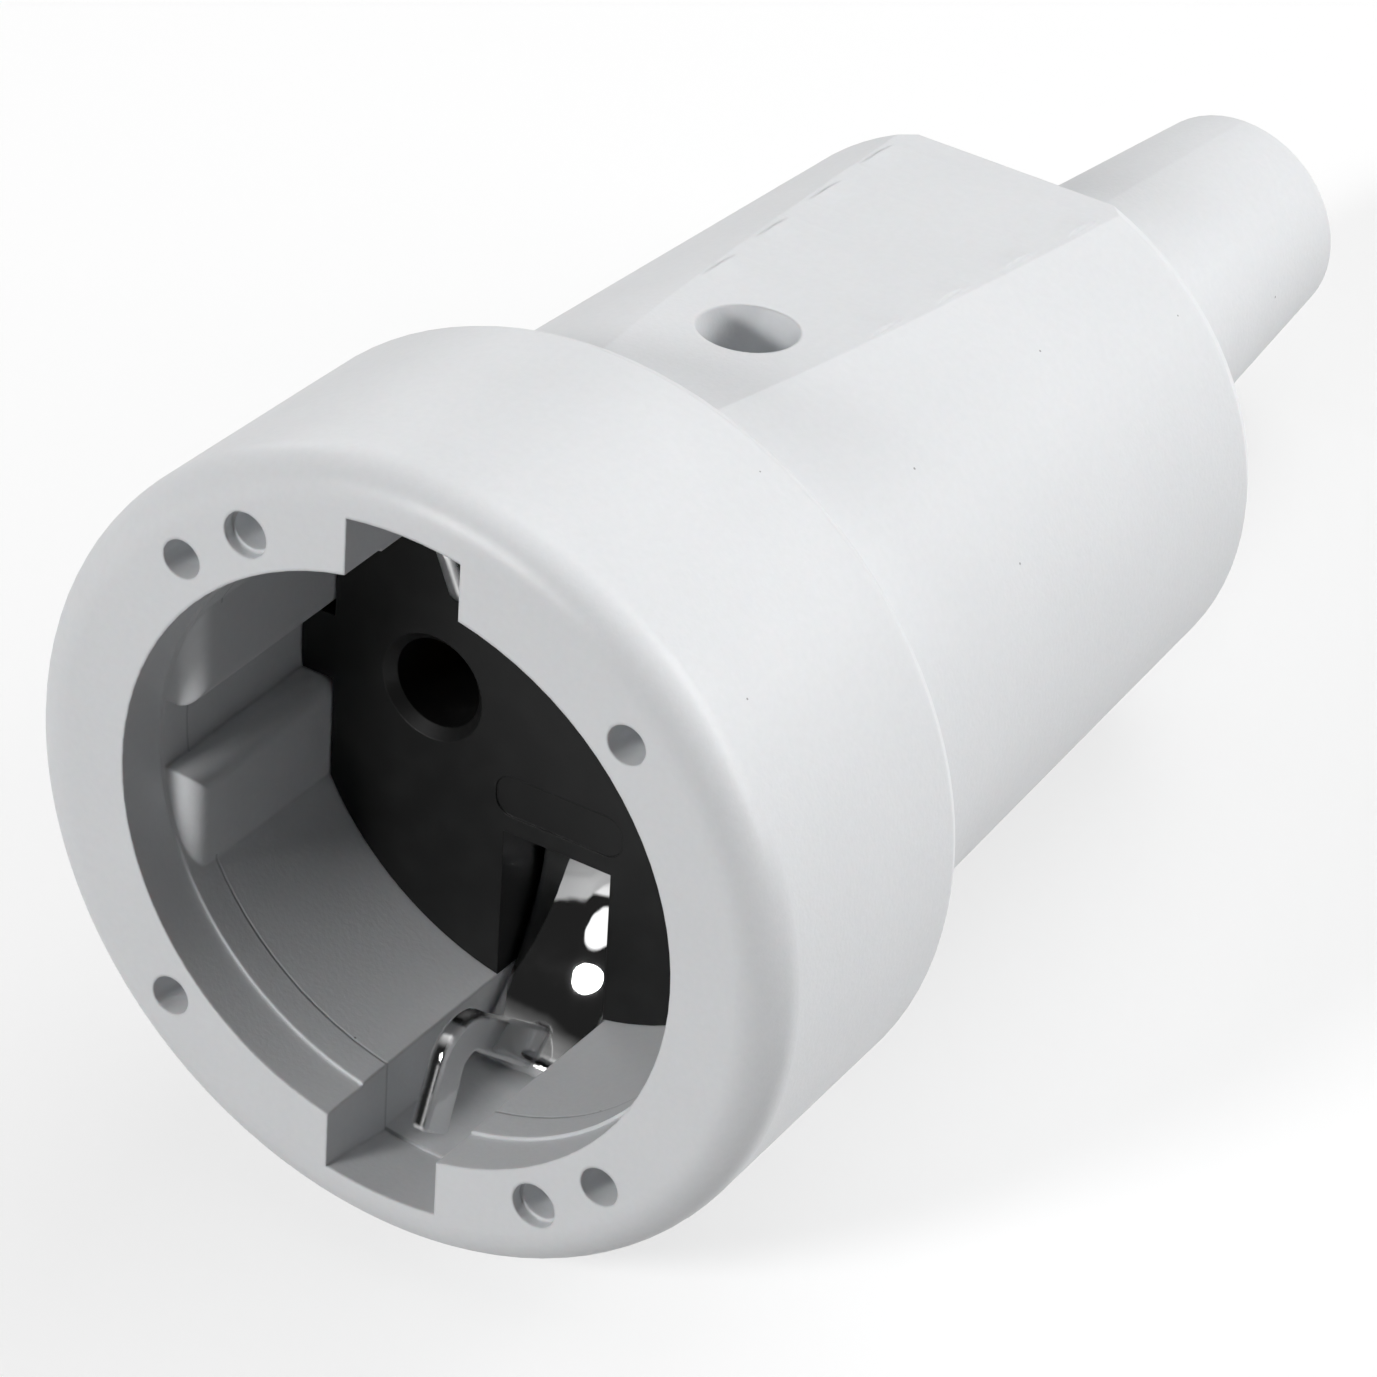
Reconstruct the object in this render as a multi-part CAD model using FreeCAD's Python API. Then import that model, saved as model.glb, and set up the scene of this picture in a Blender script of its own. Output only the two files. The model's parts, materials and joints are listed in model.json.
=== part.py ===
import FreeCAD, Part
import math
import os

V = FreeCAD.Vector
os.makedirs("parts", exist_ok=True)

# Build frame, in millimetres: +Y runs from the socket face into the body, +Z is up and +X is to
# the right as seen from the front. The last lines lay the whole part down as it comes to rest.

# Housing, outside
FACE_R = 26.6
FACE_EDGE_R = 2.6
COLLAR_LENGTH = 21.0
COLLAR_REAR_R = 25.95
BODY_FRONT_R = 21.82
BODY_REAR_R = 19.15
BODY_END = 66.6
SHOULDER_LENGTH = 9.3
TAIL_ROOT_R = 9.56
TAIL_ROOT_BREAK = 1.0
TAIL_END_R = 7.4
LENGTH = 98.0
EDGE_BREAK = 0.5
COLLAR_BREAK = 0.8
FLAT_Z = 20.1
FLAT_SLOPE = 0.093
FLAT_END_DROP = 6.6
FLAT_END_SLOPE = 0.58

# Grip ribs on the flats
RIB_COUNT = 4
RIB_FIRST_Y = 42.1
RIB_PITCH = 6.85
RIB_HALF = 6.1
RIB_GROWTH = 0.5
RIB_WIDTH = 4.2
RIB_HEIGHT = 0.16
RIB_RAMP = 1.9
RIB_END_RAMP = 0.1

# Recess and the core holes of its ring
MOUTH_R = 19.5
MOUTH_DEPTH = 3.65
WALL_STEP = 0.2
RECESS_DEPTH = 17.7
LEDGE = 1.1
SLOT_HALF = 3.95
SLOT_R = 23.24
SLOT_LIP_Y = 6.15
SLOT_FLARE = 0.145
SLOT_LENGTH = 20.1
GUIDE_X = 16.9
GUIDE_GAP_Z = 2.4
GUIDE_TOP_Z = 9.7
GUIDE_ROUND = 1.5
CORE_CIRCLE_R = 22.0
CORE_R = 1.3
CORE_WIDE_R = 1.5
CORE_DEPTH = 3.2
CORE_ANGLES = (44.6, 134.6)
CORE_WIDE_ANGLE = 119.9

# Housing, inside
WALL = 2.6
CORD_R = 4.8
SEAT_GAP = 0.3
FIT = 0.15

# Carrier
FRONT_THICKNESS = 7.5
PIN_X = 9.5
PIN_HOLE_R = 3.0
PIN_LEAD = 0.65
POCKET_Z = 8.1
POCKET_HALF = 3.9
PANEL_X = 4.6
PANEL_ROUND = 1.2
PANEL_DEPTH = 0.12
DISC_THICKNESS = 4.0
BLOCK_X = 14.8
BLOCK_Z = 9.5
BLOCK_LENGTH = 19.0
PAD_TOP_Z = 11.5
TONGUE_END_LENGTH = 2.5
TONGUE_X = 11.5
TONGUE_TOP_Z = -5.2

# Contacts
SLEEVE_R = 3.5
SLEEVE_LENGTH = 18.0
PIN_BORE_R = 2.42
PIN_BORE_LENGTH = 11.5
SLEEVE_LEAD = 0.9
SLIT = 0.8
FLANGE_R = 4.3
FLANGE_T = 1.2
SPRING_T = 0.45
SPRING_LENGTH = 2.8
SPRING_GAP = 1.2
WIRE_R = 1.7
LINE_SCREW_FROM_JOINT = 15.2
LINE_SCREW_R = 1.5

# Earth strip, terminal and hooks
STRIP_HALF = 3.5
STRIP_T = 1.0
STRIP_SINK = 3.2
STRIP_LEAN_DEG = 50.0
STRIP_LEAN_Z = 16.6
STRIP_LEAN_R = 16.0
STRIP_TOE_R = 1.0
STRIP_TOE_Y = 15.1
STRIP_TOE_Z = 22.0
HOOK_HALF = 0.6
HOOK_TIP_Y = 3.7
HOOK_TIP_Z = 20.6
HOOK_CREST_Y = 6.9
HOOK_CREST_Z = 13.1
HOOK_CREST_R = 3.1
HOOK_EDGE = 0.25
HOOK_TIP_ROUND = 0.3
HOOK_DEPTH = 2.6
HOOK_HEEL_Y = 17.8
HOOK_HEEL_Z = 21.1
EARTH_BLOCK_X = 3.4
EARTH_BLOCK_Z = 3.8
EARTH_BLOCK_LENGTH = 9.0
EARTH_SCREW_R = 1.6
EARTH_SCREW_FROM_JOINT = 4.0
RIVET_R = 1.0
RIVET_LENGTH = 3.0

# Fasteners and cord clamp
JOINER_X = 10.5
JOINER_Z = 9.8
JOINER_R = 1.2
JOINER_LENGTH = 9.3
FIXING_Y = 36.0
ACCESS_R = 3.2
FIXING_SEAT_Z = 13.6
FIXING_R = 1.75
NUT_HALF = 3.2
NUT_T = 3.0
CLAMP_GAP = 3.5
CLAMP_X = 8.2
CLAMP_HALF = 4.5
BRIDGE_X = 11.3
BRIDGE_T = 6.4
CLAMP_SCREW_R = 1.5
CLAMP_NUT_R = 3.15
HEAD_SLOT = 0.35
HEAD_T = 2.1
HEAD_LIP = 0.55
HEAD_CLEAR = 0.3
CLAMP_HEAD_LIP = 1.2

WALL_R = MOUTH_R - WALL_STEP
SEAT_R = WALL_R - LEDGE
JOINT_Y = RECESS_DEPTH + FRONT_THICKNESS
SHOULDER_END = BODY_END + SHOULDER_LENGTH
STRIP_Y = JOINT_Y - STRIP_SINK
BLOCK_END = JOINT_Y + BLOCK_LENGTH
CLAMP_Y = BLOCK_END + CLAMP_GAP + CLAMP_HALF
TONGUE_END = CLAMP_Y + CLAMP_HALF + TONGUE_END_LENGTH
SPRING_Y = JOINT_Y + FLANGE_T + FIT
LINE_SCREW_Y = JOINT_Y + LINE_SCREW_FROM_JOINT
EARTH_SCREW_Y = JOINT_Y + EARTH_SCREW_FROM_JOINT
NUT_LOW_Z = PAD_TOP_Z - 1.5 * NUT_T
CLAMP_TIP_Z = FLANGE_T / 2 - BLOCK_Z
JOINERS = ((JOINER_X, -JOINER_Z), (-JOINER_X, JOINER_Z))
SIDES = (-1, 1)
FAR = 60.0


def box(x0, x1, y0, y1, z0, z1):
    return Part.makeBox(x1 - x0, y1 - y0, z1 - z0, V(x0, y0, z0))


def cyl_y(r, y0, y1, x=0.0, z=0.0):
    return Part.makeCylinder(r, y1 - y0, V(x, y0, z), V(0, 1, 0))


def cyl_z(r, z0, z1, x=0.0, y=0.0):
    return Part.makeCylinder(r, z1 - z0, V(x, y, z0), V(0, 0, 1))


def cone_y(r0, r1, y0, y1, x=0.0, z=0.0):
    return Part.makeCone(r0, r1, y1 - y0, V(x, y0, z), V(0, 1, 0))


def rounded_face(points):
    # Each point is (y, z, corner radius) in the plane x = 0.
    n = len(points)
    ends = []
    for i in range(n):
        y, z, r = points[i]
        p = V(0, y, z)
        if r <= 0:
            ends.append((p, None, p))
            continue
        a = (V(0, *points[i - 1][:2]) - p).normalize()
        b = (V(0, *points[(i + 1) % n][:2]) - p).normalize()
        half = a.getAngle(b) / 2.0
        reach = r / math.tan(half)
        inward = (a + b).normalize()
        ends.append((p + a * reach, p + inward * (r / math.sin(half) - r), p + b * reach))
    edges = []
    for i in range(n):
        start, middle, end = ends[i]
        if middle is not None:
            edges.append(Part.Arc(start, middle, end).toShape())
        following = ends[(i + 1) % n][0]
        if end.distanceToPoint(following) > 1e-6:
            edges.append(Part.LineSegment(end, following).toShape())
    return Part.Face(Part.Wire(edges))


def turned(points):
    return rounded_face(points).revolve(V(0, 0, 0), V(0, 1, 0), 360)


def slab(points, x0, x1):
    face = rounded_face([(y, z, 0) for y, z in points])
    face.translate(V(x0, 0, 0))
    return face.extrude(V(x1 - x0, 0, 0))


def flip_x(shape):
    return shape.mirror(V(0, 0, 0), V(1, 0, 0))


def flip_z(shape):
    return shape.mirror(V(0, 0, 0), V(0, 0, 1))


def flat_z(y):
    return FLAT_Z - FLAT_SLOPE * (y - FIXING_Y)


# Housing: one soft PVC moulding, round, with a flat above and below.
def housing_outside():
    body = turned([
        (0, 0, 0),
        (0, FACE_R, FACE_EDGE_R),
        (COLLAR_LENGTH - COLLAR_BREAK, COLLAR_REAR_R, 0),
        (COLLAR_LENGTH - COLLAR_BREAK * 0.3, COLLAR_REAR_R - COLLAR_BREAK * 0.3, 0),
        (COLLAR_LENGTH, COLLAR_REAR_R - COLLAR_BREAK, 0),
        (COLLAR_LENGTH, BODY_FRONT_R, 0),
        (BODY_END - EDGE_BREAK, BODY_REAR_R, 0),
        (BODY_END + EDGE_BREAK, BODY_REAR_R - EDGE_BREAK, 0),
        (SHOULDER_END - TAIL_ROOT_BREAK, TAIL_ROOT_R + TAIL_ROOT_BREAK, 0),
        (SHOULDER_END + TAIL_ROOT_BREAK, TAIL_ROOT_R, 0),
        (LENGTH - EDGE_BREAK, TAIL_END_R, 0),
        (LENGTH, TAIL_END_R - EDGE_BREAK, 0),
        (LENGTH, 0, 0),
    ])
    end_z = flat_z(BODY_END + EDGE_BREAK) - FLAT_END_DROP
    above = slab([
        (COLLAR_LENGTH, FAR),
        (COLLAR_LENGTH, flat_z(COLLAR_LENGTH)),
        (BODY_END + EDGE_BREAK, flat_z(BODY_END + EDGE_BREAK)),
        (BODY_END + EDGE_BREAK + FLAT_END_DROP * FLAT_END_SLOPE, end_z),
        (LENGTH + 1, end_z),
        (LENGTH + 1, FAR),
    ], -FAR, FAR)
    return body.cut(above).cut(flip_z(above))


def chamber():
    rear_y = BODY_END - EDGE_BREAK * 3
    rear_r = BODY_REAR_R - WALL
    room = turned([
        (-1, 0, 0),
        (-1, MOUTH_R, 0),
        (MOUTH_DEPTH, MOUTH_R, 0),
        (MOUTH_DEPTH, WALL_R, 0),
        (JOINT_Y, WALL_R, 0),
        (JOINT_Y, SEAT_R, 0),
        (rear_y, rear_r, 0),
        (SHOULDER_END + EDGE_BREAK, CORD_R, 0),
        (LENGTH + 1, CORD_R, 0),
        (LENGTH + 1, 0, 0),
    ])
    end_z = flat_z(BODY_END) - FLAT_END_DROP - WALL
    roof = slab([
        (JOINT_Y, FAR),
        (JOINT_Y, flat_z(JOINT_Y) - WALL),
        (rear_y, flat_z(rear_y) - WALL),
        (rear_y + FLAT_END_DROP * FLAT_END_SLOPE, end_z),
        (SHOULDER_END + WALL, end_z),
        (SHOULDER_END + WALL, FAR),
    ], -FAR, FAR)
    return room.cut(roof).cut(flip_z(roof))


def earth_slot():
    lip_r = SLOT_R + SLOT_FLARE * SLOT_LIP_Y
    floor = turned([
        (-1, 0, 0),
        (-1, SLOT_R - SLOT_FLARE, 0),
        (SLOT_LIP_Y, lip_r, 0),
        (SLOT_LIP_Y, lip_r - WALL_STEP, 0),
        (SLOT_LENGTH, lip_r - WALL_STEP, 0),
        (SLOT_LENGTH, 0, 0),
    ])
    return floor.common(box(-SLOT_HALF, SLOT_HALF, -1, JOINT_Y, 0, FAR))


def guide():
    front_y = MOUTH_DEPTH + FIT
    block = box(GUIDE_X, WALL_R + WALL / 2, front_y, JOINT_Y, GUIDE_GAP_Z, GUIDE_TOP_Z)
    rounded = [e for e in block.Edges if abs(e.CenterOfMass.x - GUIDE_X) < 1e-6
               and (abs(e.CenterOfMass.y - front_y) < 1e-6 or abs(e.CenterOfMass.z - GUIDE_GAP_Z) < 1e-6)]
    return block.makeFillet(GUIDE_ROUND, rounded).common(cyl_y(WALL_R + WALL / 2, 0, JOINT_Y))


def rib(y, half):
    def ring(end_inset, side_inset, rise):
        x = half - end_inset
        front = y - RIB_WIDTH / 2 + side_inset
        back = y + RIB_WIDTH / 2 - side_inset
        front_z = flat_z(front) + rise
        back_z = flat_z(back) + rise
        corners = [V(-x, front, front_z), V(x, front, front_z), V(x, back, back_z), V(-x, back, back_z)]
        return Part.makePolygon(corners + corners[:1])

    foot = ring(-RIB_END_RAMP, -RIB_RAMP, -RIB_HEIGHT)
    crest = ring(RIB_END_RAMP, RIB_RAMP, RIB_HEIGHT)
    return Part.makeLoft([foot, crest], True, True)


def housing():
    body = housing_outside().cut(chamber())
    slot = earth_slot()
    body = body.cut(slot).cut(flip_z(slot))
    right = guide().fuse(flip_z(guide()))
    body = body.fuse(right).fuse(flip_x(right))
    for i in range(RIB_COUNT):
        bar = rib(RIB_FIRST_Y + i * RIB_PITCH, RIB_HALF + i * RIB_GROWTH)
        body = body.fuse(bar).fuse(flip_z(bar))
    body = body.fuse(cyl_z(ACCESS_R + WALL, PAD_TOP_Z + FIT, FLAT_Z - WALL / 2, 0, FIXING_Y))
    body = body.cut(cyl_z(ACCESS_R, FIXING_SEAT_Z, FLAT_Z + WALL, 0, FIXING_Y))
    body = body.cut(cyl_z(FIXING_R + FIT, PAD_TOP_Z, FIXING_SEAT_Z, 0, FIXING_Y))
    for turn in (0.0, 180.0):
        for angle in CORE_ANGLES + (CORE_WIDE_ANGLE,):
            a = math.radians(angle + turn)
            x = CORE_CIRCLE_R * math.cos(a)
            z = CORE_CIRCLE_R * math.sin(a)
            body = body.cut(cyl_y(CORE_R, 0, CORE_DEPTH, x, z))
            if angle == CORE_WIDE_ANGLE:
                body = body.cut(cyl_y(CORE_WIDE_R, 0, CORE_DEPTH / 4, x, z))
    return body


# Front half of the contact carrier: a disc with a key on each side between the guides, the pin
# holes, and a pocket above and below for the earth strip.
def carrier_front():
    disc = cyl_y(WALL_R - FIT, RECESS_DEPTH, JOINT_Y)
    side = box(GUIDE_X - FIT, FAR, 0, FAR, GUIDE_GAP_Z - FIT, FAR)
    side = side.fuse(flip_z(side))
    disc = disc.cut(side).cut(flip_x(side))
    pocket = box(-POCKET_HALF, POCKET_HALF, 0, FAR, POCKET_Z, FAR)
    disc = disc.cut(pocket).cut(flip_z(pocket))
    disc = disc.cut(box(-STRIP_HALF - FIT, STRIP_HALF + FIT, STRIP_Y, FAR, -POCKET_Z, POCKET_Z))
    disc = disc.cut(cyl_y(2 * RIVET_R, STRIP_Y - RIVET_R, FAR))
    for side in SIDES:
        x = side * PIN_X
        disc = disc.cut(cyl_y(PIN_HOLE_R, 0, FAR, x))
        disc = disc.cut(cone_y(PIN_HOLE_R + PIN_LEAD, PIN_HOLE_R, RECESS_DEPTH, RECESS_DEPTH + PIN_LEAD, x))
    for x, z in JOINERS:
        disc = disc.cut(cyl_y(JOINER_R, JOINT_Y + DISC_THICKNESS - JOINER_LENGTH - FIT, FAR, x, z))
    panel = box(-PANEL_X, PANEL_X, 0, RECESS_DEPTH + PANEL_DEPTH, -POCKET_Z + PANEL_ROUND, -POCKET_Z / 2)
    corners = [e for e in panel.Edges if abs(e.tangentAt(e.FirstParameter).y) > 0.9]
    return disc.cut(panel.makeFillet(PANEL_ROUND, corners))


def screw_window(x, y, r):
    reach = r + HEAD_LIP + FIT
    return box(x - reach, x + reach, y - reach, y + reach, 0, FAR)


# Rear half, with the terminal chambers, a pad for the fixing screw and the tongue of the clamp.
def carrier_rear():
    body = cyl_y(SEAT_R - SEAT_GAP, JOINT_Y, JOINT_Y + DISC_THICKNESS)
    block = box(-BLOCK_X, BLOCK_X, JOINT_Y, BLOCK_END, -BLOCK_Z, BLOCK_Z)
    block = block.common(cone_y(SEAT_R - SEAT_GAP, BODY_REAR_R - WALL - SEAT_GAP, JOINT_Y, BODY_END))
    pad = box(-STRIP_HALF - WALL, STRIP_HALF + WALL, JOINT_Y, BLOCK_END, 0, PAD_TOP_Z)
    rest = box(-STRIP_HALF, STRIP_HALF, STRIP_Y + STRIP_T, JOINT_Y, -POCKET_Z, POCKET_Z)
    tongue = box(-TONGUE_X, TONGUE_X, BLOCK_END, TONGUE_END, -BLOCK_Z, TONGUE_TOP_Z)
    body = body.fuse(block).fuse(pad).fuse(rest).fuse(tongue)
    for side in SIDES:
        body = body.fuse(cyl_z(CLAMP_NUT_R, TONGUE_TOP_Z, 0, side * CLAMP_X, CLAMP_Y))
    body = body.cut(box(-EARTH_BLOCK_X - SLIT, EARTH_BLOCK_X + SLIT, STRIP_Y, FAR,
                        -EARTH_BLOCK_Z - SLIT, EARTH_BLOCK_Z + SLIT))
    body = body.cut(screw_window(0, EARTH_SCREW_Y, EARTH_SCREW_R))
    reach = NUT_HALF + FIT
    body = body.cut(box(-reach, reach, FIXING_Y - reach, FAR, NUT_LOW_Z, NUT_LOW_Z + NUT_T + FIT))
    body = body.cut(cyl_z(FIXING_R + FIT, 0, FAR, 0, FIXING_Y))
    for side in SIDES:
        x = side * PIN_X
        body = body.cut(cyl_y(SLEEVE_R + FIT, 0, FAR, x))
        body = body.cut(cyl_y(FLANGE_R + FIT, 0, JOINT_Y + FLANGE_T, x))
        body = body.cut(cyl_y(SLEEVE_R + SPRING_T + FIT, 0, SPRING_Y + SPRING_LENGTH + FIT, x))
        body = body.cut(screw_window(x, LINE_SCREW_Y, LINE_SCREW_R))
        body = body.cut(cyl_z(CLAMP_SCREW_R + FIT, -FAR, FAR, side * CLAMP_X, CLAMP_Y))
        body = body.cut(hexagon(CLAMP_NUT_R + FIT / 2, -BLOCK_Z, -BLOCK_Z + NUT_T, side * CLAMP_X, CLAMP_Y))
    for x, z in JOINERS:
        body = body.cut(cyl_y(JOINER_R + FIT, 0, FAR, x, z))
        body = body.cut(cyl_y(2.5 * JOINER_R, JOINT_Y + DISC_THICKNESS, FAR, x, z))
    return body


def hexagon(r, z0, z1, x, y):
    corners = [V(x + r * math.cos(math.radians(a)), y + r * math.sin(math.radians(a)), z0)
               for a in range(0, 361, 60)]
    return Part.Face(Part.makePolygon(corners)).extrude(V(0, 0, z1 - z0))


# Brass sleeve, slit so that it grips the pin, with a wire hole behind.
def contact(x):
    end = JOINT_Y + SLEEVE_LENGTH
    bore_y = JOINT_Y + SLEEVE_LEAD
    bore_end = bore_y + PIN_BORE_LENGTH
    body = cyl_y(SLEEVE_R, JOINT_Y, end, x).fuse(cyl_y(FLANGE_R, JOINT_Y, JOINT_Y + FLANGE_T, x))
    body = body.cut(cone_y(SLEEVE_R - SLIT / 2, PIN_BORE_R, JOINT_Y, bore_y, x))
    body = body.cut(cyl_y(PIN_BORE_R, bore_y, bore_end, x))
    body = body.cut(box(x - SLIT / 2, x + SLIT / 2, JOINT_Y, bore_end - SLEEVE_R, -FAR, FAR))
    body = body.cut(cyl_y(WIRE_R, bore_end + SLIT, end, x))
    return body.cut(cyl_z(LINE_SCREW_R, 0, FAR, x, LINE_SCREW_Y))


# Steel ring that presses the halves of a sleeve together.
def contact_spring(side):
    x = side * PIN_X
    ring = cyl_y(SLEEVE_R + SPRING_T, SPRING_Y, SPRING_Y + SPRING_LENGTH, x).cut(cyl_y(SLEEVE_R, 0, FAR, x))
    low, high = sorted((x, x + side * FAR))
    return ring.cut(box(low, high, 0, FAR, -SPRING_GAP / 2, SPRING_GAP / 2))


def slotted_screw(x, y, r, tip_z, seat_z, head_r):
    top = seat_z + HEAD_T
    screw = cyl_z(r, tip_z, seat_z, x, y).fuse(cyl_z(head_r, seat_z, top, x, y))
    return screw.cut(box(x - FAR, x + FAR, y - HEAD_SLOT, y + HEAD_SLOT, top - HEAD_T / 2, top))


# Earth strip: a bow behind the front half, bent forward above and below, each end with the hook
# that touches the side contact of a plug.
def hook():
    # From the tip over the crest to the heel on the strip, and back along the inner side.
    inner_y = HOOK_TIP_Y + HOOK_DEPTH
    inner_z = HOOK_CREST_Z + 1.5 * HOOK_DEPTH
    plate = rounded_face([
        (HOOK_TIP_Y, HOOK_TIP_Z, HOOK_TIP_ROUND),
        (HOOK_CREST_Y, HOOK_CREST_Z, HOOK_CREST_R),
        (HOOK_HEEL_Y, HOOK_HEEL_Z, 0),
        (STRIP_TOE_Y + HOOK_EDGE, STRIP_TOE_Z + 0.7 * STRIP_T, 0),
        (HOOK_CREST_Y + HOOK_DEPTH / 2, inner_z, HOOK_CREST_R / 3),
        (inner_y, HOOK_TIP_Z + 0.7 * HOOK_DEPTH, HOOK_TIP_ROUND),
    ])
    plate.translate(V(-HOOK_HALF, 0, 0))
    plate = plate.extrude(V(2 * HOOK_HALF, 0, 0))
    outer = [e for e in plate.Edges if abs(abs(e.CenterOfMass.x) - HOOK_HALF) < 1e-6
             and e.BoundBox.ZMin < inner_z - HOOK_TIP_ROUND]
    return plate.makeChamfer(HOOK_EDGE, outer)


def earth_bow():
    lean = math.radians(STRIP_LEAN_DEG)
    out_z = STRIP_TOE_Z + STRIP_T
    out_lean_z = STRIP_LEAN_Z + STRIP_T * math.tan(lean / 2)
    arm = rounded_face([
        (STRIP_Y, 0, 0),
        (STRIP_Y, STRIP_LEAN_Z, STRIP_LEAN_R),
        (STRIP_Y - (STRIP_TOE_Z - STRIP_LEAN_Z) * math.tan(lean), STRIP_TOE_Z, STRIP_TOE_R),
        (STRIP_TOE_Y, STRIP_TOE_Z, 0),
        (STRIP_TOE_Y, out_z, 0),
        (STRIP_Y + STRIP_T - (out_z - out_lean_z) * math.tan(lean), out_z, STRIP_TOE_R + STRIP_T),
        (STRIP_Y + STRIP_T, out_lean_z, STRIP_LEAN_R + STRIP_T),
        (STRIP_Y + STRIP_T, 0, 0),
    ])
    arm.translate(V(-STRIP_HALF, 0, 0))
    arm = arm.extrude(V(2 * STRIP_HALF, 0, 0)).fuse(hook())
    return arm.fuse(flip_z(arm)).cut(cyl_y(RIVET_R, 0, FAR)).removeSplitter()


# Block for the earth wire, riveted to the bow.
def earth_terminal():
    y0 = STRIP_Y + STRIP_T
    end = y0 + EARTH_BLOCK_LENGTH
    body = box(-EARTH_BLOCK_X, EARTH_BLOCK_X, y0, end, -EARTH_BLOCK_Z, EARTH_BLOCK_Z)
    body = body.cut(cyl_y(RIVET_R, y0, y0 + RIVET_LENGTH)).cut(cyl_y(WIRE_R, y0 + RIVET_LENGTH + SLIT, end))
    return body.cut(cyl_z(EARTH_SCREW_R, 0, FAR, 0, EARTH_SCREW_Y))


def earth_rivet():
    shank = cyl_y(RIVET_R, STRIP_Y, STRIP_Y + STRIP_T + RIVET_LENGTH)
    return shank.fuse(cyl_y(1.6 * RIVET_R, STRIP_Y - 0.7 * RIVET_R, STRIP_Y))


def joiner(x, z):
    head_y = JOINT_Y + DISC_THICKNESS
    top = head_y + HEAD_T
    head = cyl_y(2 * JOINER_R, head_y, top, x, z)
    head = head.cut(box(x - FAR, x + FAR, top - HEAD_T / 2, top, z - HEAD_SLOT, z + HEAD_SLOT))
    return cyl_y(JOINER_R, head_y - JOINER_LENGTH, head_y, x, z).fuse(head)


def fixing_nut():
    block = box(-NUT_HALF, NUT_HALF, FIXING_Y - NUT_HALF, FIXING_Y + NUT_HALF, NUT_LOW_Z, NUT_LOW_Z + NUT_T)
    return block.cut(cyl_z(FIXING_R, 0, FAR, 0, FIXING_Y))


# Cord clamp: a bridge pulled down on the posts of the tongue by two screws into nuts.
def clamp_bridge():
    block = box(-BRIDGE_X, BRIDGE_X, CLAMP_Y - CLAMP_HALF, CLAMP_Y + CLAMP_HALF, 0, BRIDGE_T)
    block = block.cut(cyl_y(CORD_R, 0, LENGTH))
    for side in SIDES:
        block = block.cut(cyl_z(CLAMP_SCREW_R + FIT, 0, FAR, side * CLAMP_X, CLAMP_Y))
    return block


def clamp_nut(x):
    nut = hexagon(CLAMP_NUT_R - FIT / 2, CLAMP_TIP_Z, -BLOCK_Z + NUT_T, x, CLAMP_Y)
    return nut.cut(cyl_z(CLAMP_SCREW_R, -FAR, 0, x, CLAMP_Y))


def both(make):
    return Part.makeCompound([make(side) for side in SIDES])


NODES = {
    "housing": housing(),
    "carrier_front": carrier_front(),
    "carrier_rear": carrier_rear(),
    "contact_left": contact(-PIN_X),
    "contact_right": contact(PIN_X),
    "contact_springs": both(contact_spring),
    "line_screws": both(lambda s: slotted_screw(s * PIN_X, LINE_SCREW_Y, LINE_SCREW_R, WIRE_R + FIT,
                                                SLEEVE_R + HEAD_CLEAR, LINE_SCREW_R + HEAD_LIP)),
    "earth_bow": earth_bow(),
    "earth_terminal": earth_terminal(),
    "earth_rivet": earth_rivet(),
    "earth_screw": slotted_screw(0, EARTH_SCREW_Y, EARTH_SCREW_R, WIRE_R + FIT, EARTH_BLOCK_Z + HEAD_CLEAR,
                                 EARTH_SCREW_R + HEAD_LIP),
    "carrier_screws": Part.makeCompound([joiner(x, z) for x, z in JOINERS]),
    "fixing_screw": slotted_screw(0, FIXING_Y, FIXING_R, PAD_TOP_Z - 2 * NUT_T, FIXING_SEAT_Z,
                                  ACCESS_R - FIT),
    "fixing_nut": fixing_nut(),
    "clamp_bridge": clamp_bridge(),
    "clamp_screws": both(lambda s: slotted_screw(s * CLAMP_X, CLAMP_Y, CLAMP_SCREW_R, CLAMP_TIP_Z,
                                                 BRIDGE_T, CLAMP_SCREW_R + CLAMP_HEAD_LIP)),
    "clamp_nuts": both(lambda s: clamp_nut(s * CLAMP_X)),
}

# The finished part lies on its collar and on the rear corners of the lower flat.
heel_y = BODY_END + EDGE_BREAK
rim_y = COLLAR_LENGTH - COLLAR_BREAK
rest_tilt = math.degrees(math.atan2(COLLAR_REAR_R - flat_z(heel_y), heel_y - rim_y))
for shape in NODES.values():
    shape.rotate(V(0, 0, 0), V(1, 0, 0), -rest_tilt)
bounds = NODES["housing"].optimalBoundingBox(False, False)
shift = V(0, -(bounds.YMin + bounds.YMax) / 2, -bounds.ZMin)
for name, shape in NODES.items():
    shape.translate(shift)
    shape.exportStep("parts/" + name + ".step")
    print(name, len(shape.Solids), "solids, valid:", shape.isValid(), "volume:", round(shape.Volume, 1))
print("tilt and shift", rest_tilt, shift.y, shift.z)
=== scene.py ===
import json
import math

import bpy
from mathutils import Matrix, Vector


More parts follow.
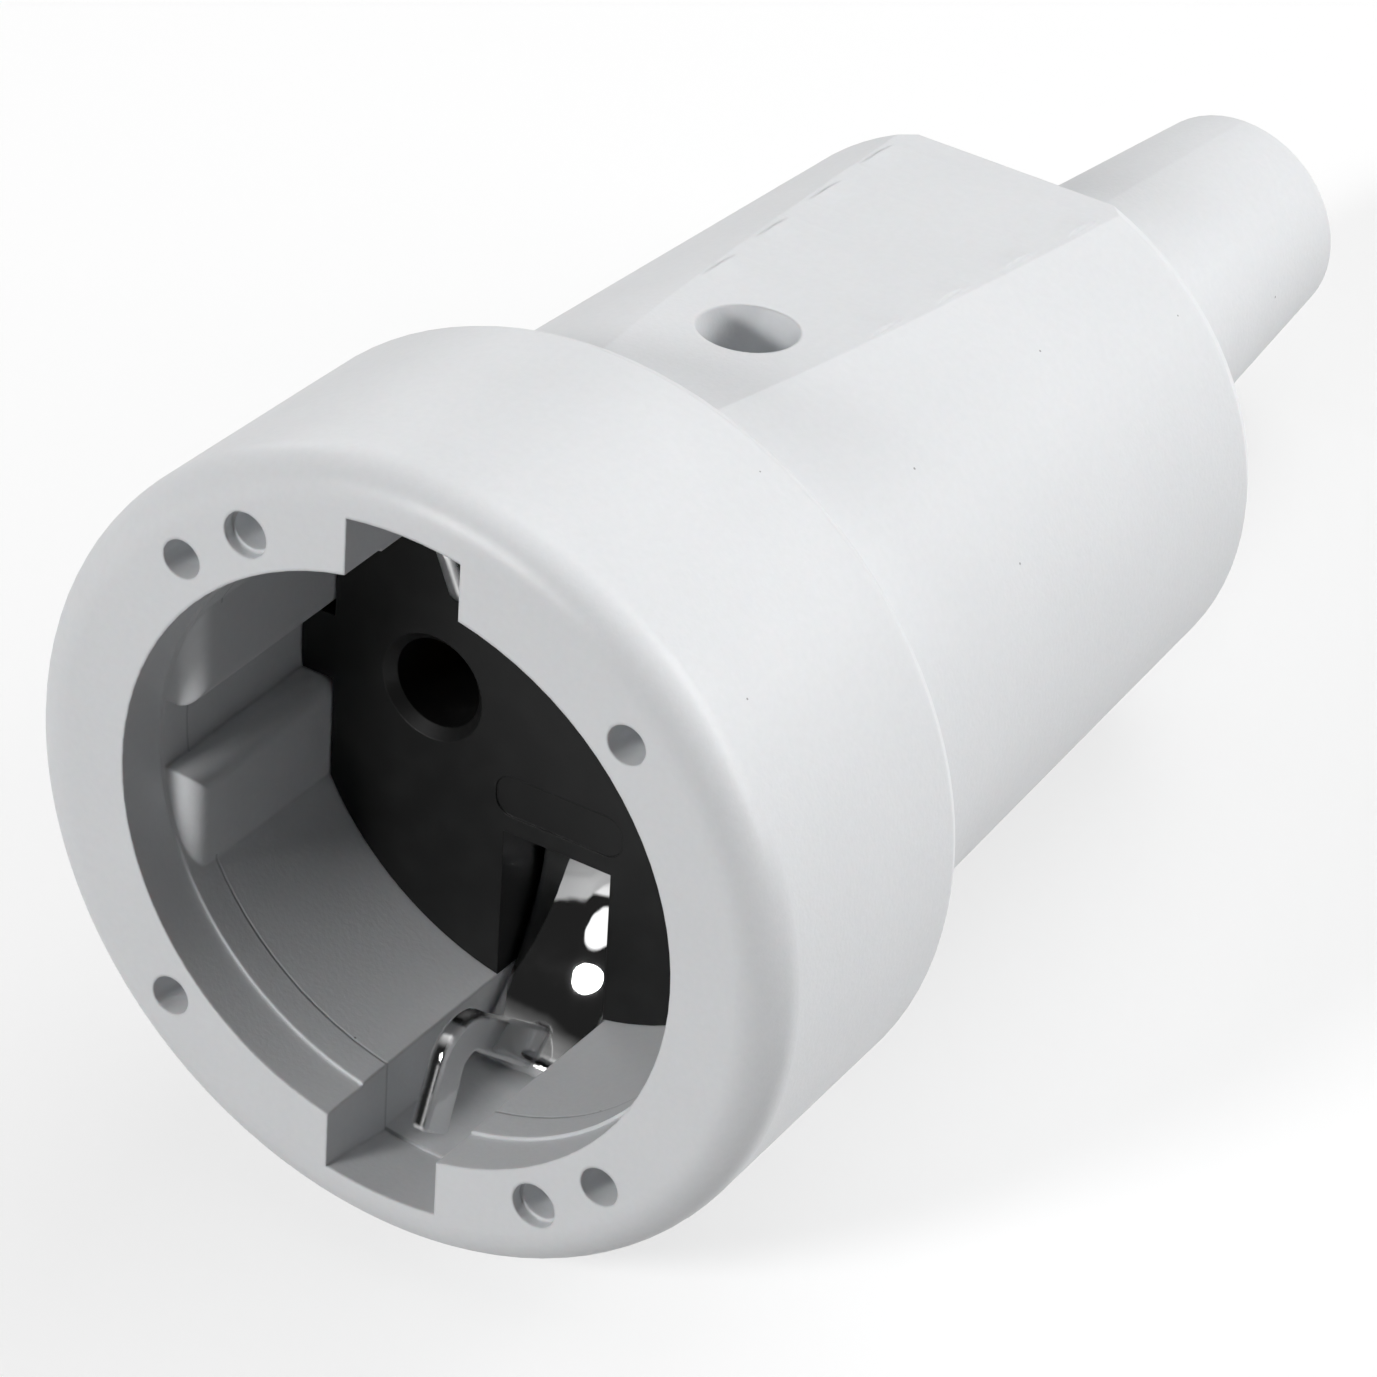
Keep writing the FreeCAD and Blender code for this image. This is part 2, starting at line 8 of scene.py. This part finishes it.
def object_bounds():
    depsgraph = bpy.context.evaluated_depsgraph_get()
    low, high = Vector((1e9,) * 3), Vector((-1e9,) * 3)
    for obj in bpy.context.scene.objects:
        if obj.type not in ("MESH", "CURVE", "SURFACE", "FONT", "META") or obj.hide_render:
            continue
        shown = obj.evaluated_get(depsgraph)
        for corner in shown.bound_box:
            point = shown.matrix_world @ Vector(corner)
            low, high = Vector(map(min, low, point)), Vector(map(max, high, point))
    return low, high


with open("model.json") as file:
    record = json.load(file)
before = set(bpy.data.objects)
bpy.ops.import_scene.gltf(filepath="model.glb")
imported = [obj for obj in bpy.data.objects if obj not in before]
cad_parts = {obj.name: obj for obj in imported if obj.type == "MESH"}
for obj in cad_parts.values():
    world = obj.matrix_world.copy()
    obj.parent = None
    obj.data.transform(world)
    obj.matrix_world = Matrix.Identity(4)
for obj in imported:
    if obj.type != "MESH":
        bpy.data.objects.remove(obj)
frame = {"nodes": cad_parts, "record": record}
cad_low, cad_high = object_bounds()
nodes = frame["nodes"]


# Housing and boot: one moulding in light grey soft PVC, made in a spark-eroded steel mould. The
# outside has the mould's fine satin grain and a few grey specks in the compound, and a witness
# line runs round the recess where two cores of the mould meet; its shallow groove is darkened in
# the colour as painted shade. The grip ribs end in short dashes.
MM = 0.001
TILT = math.radians(10.559)
PLASTIC_IOR = 1.5
PVC_GREY = "#DFE0E2"
PVC_GREY_DEEP = "#D3D5D7"
PVC_SPECK = "#939393"
PVC_ROUGHNESS = (0.36, 0.46)
PVC_DEPTH_SHARE = 0.05
PVC_EDGE_MM = 0.3
EDGE_SAMPLES = 4
GRAIN_MM = 0.28
GRAIN_HEIGHT_MM = 0.012
CLOUD_MM = 9.0
MOTTLE_MM = 0.5
SPECK_SPACING_MM = 4.2
SPECK_R_MM = 0.085
SPECK_SHARE = 0.65
# Painted shade: the darker grey that stands in for the shade in the witness line's groove.
WITNESS_GROOVE_PAINTED_SHADE = "#B8BABC"
WITNESS_Y_MM = 6.15
WITNESS_HALF_MM = 0.15
WITNESS_DEPTH_MM = 0.03
WITNESS_MIDDLE_R_MM = 21.9
WITNESS_SPAN_R_MM = 2.75
RIB_FIRST_Y_MM = 42.1
RIB_PITCH_MM = 6.85
RIB_HALF_WIDTH_MM = 2.1
RIBS_MIDDLE_Y_MM = 52.4
RIBS_REACH_MM = 12.6
RIB_END_X_MM = 6.1
RIB_END_GROWTH = 0.073
RIB_END_SOFT_MM = 0.16
RIB_END_LENGTH_MM = 1.6
RIB_END_HEIGHT_MM = 0.12

face_mount = next(m for m in frame["record"]["mounts"] if m["name"] == "front_face")
FACE_AT = Vector((0, face_mount["pos_m"][1], face_mount["pos_m"][2]))


def linear(colour):
    # An sRGB hex colour as linear RGBA.
    values = [int(colour[i:i + 2], 16) / 255 for i in (1, 3, 5)]
    return tuple(v / 12.92 if v <= 0.04045 else ((v + 0.055) / 1.055) ** 2.4
                 for v in values) + (1.0,)


def add(tree, kind, inputs=None, **settings):
    made = tree.nodes.new(kind)
    for name, value in settings.items():
        setattr(made, name, value)
    for key, value in (inputs or {}).items():
        if isinstance(value, bpy.types.NodeSocket):
            tree.links.new(value, made.inputs[key])
        else:
            made.inputs[key].default_value = value
    return made


def math_node(tree, operation, *values):
    return add(tree, "ShaderNodeMath", dict(enumerate(values)), operation=operation).outputs[0]


def product(tree, first, *others):
    for other in others:
        first = math_node(tree, "MULTIPLY", first, other)
    return first


def ramp(tree, value, low, high, to_low=0.0, to_high=1.0):
    ends = dict(enumerate((value, low, high, to_low, to_high)))
    return add(tree, "ShaderNodeMapRange", ends).outputs[0]


def mixed_colour(tree, share, first, second):
    colours = {0: share, 6: first, 7: second}
    return add(tree, "ShaderNodeMix", colours, data_type="RGBA").outputs[2]


def noise(tree, place, size_mm, detail=2.0):
    look = {"Vector": place, "Scale": 1 / size_mm, "Detail": detail}
    return add(tree, "ShaderNodeTexNoise", look).outputs[0]


def split(tree, place):
    return add(tree, "ShaderNodeSeparateXYZ", {0: place}).outputs


def in_millimetres(tree):
    # Object coordinates in mm, in the part's own straight lay: Y from the face into the body.
    lay = Matrix.Rotation(TILT, 3, "X")
    move = {"Vector": add(tree, "ShaderNodeTexCoord").outputs["Object"],
            "Rotation": (TILT, 0, 0), "Location": -(lay @ FACE_AT)}
    moved = add(tree, "ShaderNodeMapping", move).outputs[0]
    scaled = {0: moved, "Scale": 1 / MM}
    return add(tree, "ShaderNodeVectorMath", scaled, operation="SCALE").outputs[0]


def material(name, values):
    made = bpy.data.materials.new(name)
    made.use_nodes = True
    tree = made.node_tree
    shader = tree.nodes["Principled BSDF"]
    for key, value in values.items():
        shader.inputs[key].default_value = value
    return made, tree, shader, in_millimetres(tree)


def relief(tree, shader, height_mm, edge_mm):
    # The Bevel node rounds the look of the mesh's sharp edges, and the bump sits on top of it.
    rounded = {"Radius": edge_mm * MM}
    edges = add(tree, "ShaderNodeBevel", rounded, samples=EDGE_SAMPLES).outputs[0]
    raised = {"Height": height_mm, "Normal": edges, "Distance": MM, "Strength": 1.0}
    bump = add(tree, "ShaderNodeBump", raised).outputs[0]
    tree.links.new(bump, shader.inputs["Normal"])


def dress(names, finish):
    for name in names:
        slots = nodes[name].data.materials
        slots.clear()
        slots.append(finish)


def witness_line(tree, axes):
    # 1 on the line round the recess, falling to 0 at its sides.
    from_line = math_node(tree, "ABSOLUTE", math_node(tree, "SUBTRACT", axes["Y"], WITNESS_Y_MM))
    squares = [product(tree, axes[name], axes[name]) for name in "XZ"]
    radius = math_node(tree, "SQRT", math_node(tree, "ADD", *squares))
    on_wall = math_node(tree, "COMPARE", radius, WITNESS_MIDDLE_R_MM, WITNESS_SPAN_R_MM)
    return product(tree, ramp(tree, from_line, WITNESS_HALF_MM, 0.0), on_wall)


def rib_ends(tree, axes):
    # 1 on the crest at both ends of each grip rib, with a steep fall past the end.
    from_first = math_node(tree, "SUBTRACT", axes["Y"], RIB_FIRST_Y_MM)
    from_crest = math_node(tree, "PINGPONG", from_first, RIB_PITCH_MM / 2)
    rise = ramp(tree, from_crest, RIB_HALF_WIDTH_MM, 0.0)
    in_row = math_node(tree, "COMPARE", axes["Y"], RIBS_MIDDLE_Y_MM, RIBS_REACH_MM)
    end_x = math_node(tree, "MULTIPLY_ADD", from_first, RIB_END_GROWTH, RIB_END_X_MM)
    past_end = math_node(tree, "SUBTRACT", math_node(tree, "ABSOLUTE", axes["X"]), end_x)
    fall = ramp(tree, past_end, RIB_END_SOFT_MM, -RIB_END_SOFT_MM)
    climb = ramp(tree, past_end, -RIB_END_LENGTH_MM, -RIB_END_SOFT_MM)
    return product(tree, rise, product(tree, fall, climb, in_row))


pvc, tree, shader, place = material("soft_pvc_light_grey", {
    "IOR": PLASTIC_IOR, "Subsurface Weight": PVC_DEPTH_SHARE, "Subsurface Scale": MM})
# The mean of large clouds and fine mottle tints the compound.
clouds = noise(tree, place, CLOUD_MM, detail=3.0)
mottle = product(tree, math_node(tree, "ADD", clouds, noise(tree, place, MOTTLE_MM)), 0.5)
tint = mixed_colour(tree, mottle, linear(PVC_GREY), linear(PVC_GREY_DEEP))
cells = add(tree, "ShaderNodeTexVoronoi", {"Vector": place, "Scale": 1 / SPECK_SPACING_MM}).outputs
near = math_node(tree, "LESS_THAN", cells["Distance"], SPECK_R_MM / SPECK_SPACING_MM)
few = math_node(tree, "LESS_THAN", cells["Color"], SPECK_SHARE)
speckled = mixed_colour(tree, product(tree, near, few), tint, linear(PVC_SPECK))
axes = split(tree, place)
witness = witness_line(tree, axes)
# The witness line is darkened in the base colour as painted shade of its groove, on top of the
# real hollow in the bump.
painted_groove_shade_colour = mixed_colour(tree, witness, speckled, linear(WITNESS_GROOVE_PAINTED_SHADE))
tree.links.new(painted_groove_shade_colour, shader.inputs["Base Color"])
sheen = ramp(tree, noise(tree, place, CLOUD_MM / 2), 0.0, 1.0, *PVC_ROUGHNESS)
tree.links.new(sheen, shader.inputs["Roughness"])
grain = product(tree, noise(tree, place, GRAIN_MM), GRAIN_HEIGHT_MM)
hollow = product(tree, witness, WITNESS_DEPTH_MM)
raised = math_node(tree, "MULTIPLY_ADD", rib_ends(tree, axes), RIB_END_HEIGHT_MM, grain)
relief(tree, shader, math_node(tree, "SUBTRACT", raised, hollow), PVC_EDGE_MM)
dress(["housing"], pvc)


# Contact carrier and cord clamp's bridge: black thermoset, pressed in a polished mould, so the
# surface is even, a little shiny, and shows only faint flow marks and dust.
CARRIER_BLACK = "#121212"
CARRIER_DUST = "#1A1A1A"
CARRIER_GLOSS = 0.3
CARRIER_ROUGHNESS = (0.42, 0.48)
CARRIER_EDGE_MM = 0.12
DUST_MM = 2.5
DUST_FROM, DUST_TO = 0.45, 0.8
FLOW_MM = 0.3
FLOW_HEIGHT_MM = 0.006

thermoset, tree, shader, place = material("black_thermoset", {
    "IOR": PLASTIC_IOR, "Specular IOR Level": CARRIER_GLOSS})
dust = ramp(tree, noise(tree, place, DUST_MM, detail=4.0), DUST_FROM, DUST_TO)
dusty = mixed_colour(tree, dust, linear(CARRIER_BLACK), linear(CARRIER_DUST))
tree.links.new(dusty, shader.inputs["Base Color"])
tree.links.new(ramp(tree, dust, 0.0, 1.0, *CARRIER_ROUGHNESS), shader.inputs["Roughness"])
flow = product(tree, noise(tree, place, FLOW_MM), FLOW_HEIGHT_MM)
relief(tree, shader, flow, CARRIER_EDGE_MM)
dress(["carrier_front", "carrier_rear", "clamp_bridge"], thermoset)


# Earth bow: brass strip with bright nickel plate, stamped, bent and tumbled, so its edges are
# round and it mirrors the recess, with slight waves. Right of its middle it is a little crowned.
NICKEL = "#DBDBDB"
NICKEL_ROUGHNESS = (0.015, 0.045)
NICKEL_CLOUD_MM = 0.9
NICKEL_EDGE_MM = 0.4
NICKEL_CROWN = 0.03
WAVE_MM = 1.6
WAVE_HEIGHT_MM = 0.008

nickel, tree, shader, place = material("bright_nickel_plate", {
    "Metallic": 1.0, "Base Color": linear(NICKEL)})
clouds = noise(tree, place, NICKEL_CLOUD_MM, detail=3.0)
tree.links.new(ramp(tree, clouds, 0.0, 1.0, *NICKEL_ROUGHNESS), shader.inputs["Roughness"])
right = math_node(tree, "MAXIMUM", split(tree, place)["X"], 0.0)
crown = product(tree, right, right, -NICKEL_CROWN)
waves = product(tree, noise(tree, place, WAVE_MM, detail=1.0), WAVE_HEIGHT_MM)
relief(tree, shader, math_node(tree, "ADD", crown, waves), NICKEL_EDGE_MM)
dress(["earth_bow"], nickel)


# Contact sleeves, earth terminal and rivet: turned and stamped from plain brass, satin from the
# cut, with slightly darker tarnish in patches.
BRASS = "#C9A45C"
BRASS_TARNISH = "#9C7A3C"
BRASS_ROUGHNESS = 0.3
TARNISH_MM = 1.7
METAL_EDGE_MM = 0.1
CUT_MM = 0.2
CUT_HEIGHT_MM = 0.004

brass, tree, shader, place = material("turned_brass", {
    "Metallic": 1.0, "Roughness": BRASS_ROUGHNESS})
patches = noise(tree, place, TARNISH_MM, detail=4.0)
tarnished = mixed_colour(tree, patches, linear(BRASS), linear(BRASS_TARNISH))
tree.links.new(tarnished, shader.inputs["Base Color"])
cut = product(tree, noise(tree, place, CUT_MM), CUT_HEIGHT_MM)
relief(tree, shader, cut, METAL_EDGE_MM)
dress(["contact_left", "contact_right", "earth_terminal", "earth_rivet"], brass)


# Screws, nuts and sleeve rings: steel with a thin bright zinc plate, slightly cloudy from the
# passivation bath.
ZINC = "#B9BBBD"
ZINC_ROUGHNESS = (0.22, 0.42)
ZINC_CLOUD_MM = 1.2
ZINC_CLOUD_HEIGHT_MM = 0.004

zinc, tree, shader, place = material("zinc_plated_steel", {
    "Metallic": 1.0, "Base Color": linear(ZINC)})
clouds = noise(tree, place, ZINC_CLOUD_MM, detail=3.0)
tree.links.new(ramp(tree, clouds, 0.0, 1.0, *ZINC_ROUGHNESS), shader.inputs["Roughness"])
relief(tree, shader, product(tree, clouds, ZINC_CLOUD_HEIGHT_MM), METAL_EDGE_MM)
dress(["line_screws", "earth_screw", "carrier_screws", "fixing_screw", "fixing_nut",
       "clamp_screws", "clamp_nuts", "contact_springs"], zinc)


# Studio: a sweep of pale card under the part, in a dim room with soft boxes. The card and the room
# behind it show white, also in the plating and in gloss, but the front of the room mirrors dark.
CARD_PALE = "#A0A0A0"
CARD_ROUGHNESS = 0.9
CARD_GLOW = 0.62
FLOOR_SIZE = 6.0
ROOM_LIGHT = 0.02
ROOM_DIM_Y, ROOM_WHITE_Y = -0.5, 0.0
WHITE = (1, 1, 1, 1)

# Each soft box: its name, place and size in metres, power in watts, shape, and roll in degrees.
SOFT_BOXES = [
    ("top_box", (0.0, 0.05, 0.9), (0.7, 0.7), 0.92, "RECTANGLE", 0),
    ("back_box", (0.05, 0.7, 0.75), (0.7, 0.5), 3.02, "RECTANGLE", 0),
    ("left_back_box", (-0.75, 0.6, 0.3), (0.5, 0.4), 1.14, "RECTANGLE", 0),
    ("right_high_box", (0.6, 0.6, 0.6), (0.4, 0.4), 3.13, "RECTANGLE", 0),
    ("right_low_box", (0.7, 0.7, 0.35), (0.5, 0.4), 1.54, "RECTANGLE", 0),
    ("right_box", (0.9, 0.35, 0.3), (0.4, 0.4), 3.96, "RECTANGLE", 0),
    ("front_box", (-0.27, -0.81, 0.58), (0.25, 0.2), 6.3, "ELLIPSE", 0),
    ("front_low_box", (-0.26, -0.92, 0.23), (0.24, 0.34), 0.3, "ELLIPSE", 30),
]


def shown_rays(tree):
    rays = add(tree, "ShaderNodeLightPath").outputs
    straight = math_node(tree, "MAXIMUM", rays["Is Camera Ray"], rays["Is Transmission Ray"])
    return straight, rays["Is Glossy Ray"]


def soft_box(name, place, size, power, shape, roll):
    lamp = bpy.data.lights.new(name, "AREA")
    lamp.shape = shape
    lamp.size, lamp.size_y = size
    lamp.energy = power
    holder = bpy.data.objects.new(name, lamp)
    scene.collection.objects.link(holder)
    holder.location = place
    aim = (middle - Vector(place)).to_track_quat("-Z", "Y").to_matrix()
    holder.rotation_euler = (aim @ Matrix.Rotation(math.radians(roll), 3, "Z")).to_euler()


bpy.ops.mesh.primitive_plane_add(size=FLOOR_SIZE)
floor = bpy.context.object
floor.name = "floor"
card = bpy.data.materials.new("pale_card")
card.use_nodes = True
tree = card.node_tree
shader = tree.nodes["Principled BSDF"]
shader.inputs["Roughness"].default_value = CARD_ROUGHNESS
shader.inputs["Base Color"].default_value = linear(CARD_PALE)
shader.inputs["Emission Color"].default_value = WHITE
glow = product(tree, math_node(tree, "MAXIMUM", *shown_rays(tree)), CARD_GLOW)
tree.links.new(glow, shader.inputs["Emission Strength"])
floor.data.materials.append(card)

scene = bpy.context.scene
scene.view_settings.view_transform = "Standard"
world = bpy.data.worlds.new("room")
scene.world = world
world.use_nodes = True
tree = world.node_tree
tree.nodes.clear()
straight, glossy = shown_rays(tree)
towards = split(tree, add(tree, "ShaderNodeTexCoord").outputs["Generated"])["Y"]
behind = ramp(tree, towards, ROOM_DIM_Y, ROOM_WHITE_Y)
share = math_node(tree, "MAXIMUM", straight, product(tree, glossy, behind))
dim = add(tree, "ShaderNodeBackground", {"Color": WHITE, "Strength": ROOM_LIGHT}).outputs[0]
white = add(tree, "ShaderNodeBackground", {"Color": WHITE, "Strength": 1.0}).outputs[0]
mixed = add(tree, "ShaderNodeMixShader", {0: share, 1: dim, 2: white}).outputs[0]
add(tree, "ShaderNodeOutputWorld", {"Surface": mixed})

middle = (cad_low + cad_high) / 2
for box in SOFT_BOXES:
    soft_box(*box)


# Camera: a long lens, close to the photograph's own, looking down on the front right side.
LENS_MM = 209.15
SENSOR_MM = 36.0
CLIP_START = 0.01
CAMERA_AT = Vector((0.21506, -0.31, 0.3474))
CAMERA_VIEW = Vector((-0.43914, 0.60014, -0.66858))
CAMERA_ROLL = math.radians(-4.006)

camera = bpy.data.objects.new("camera", bpy.data.cameras.new("camera"))
scene.collection.objects.link(camera)
camera.data.lens = LENS_MM
camera.data.sensor_width = SENSOR_MM
camera.data.clip_start = CLIP_START
camera.location = CAMERA_AT
turn = CAMERA_VIEW.to_track_quat("-Z", "Y").to_matrix() @ Matrix.Rotation(CAMERA_ROLL, 3, "Z")
camera.rotation_euler = turn.to_euler()
scene.camera = camera
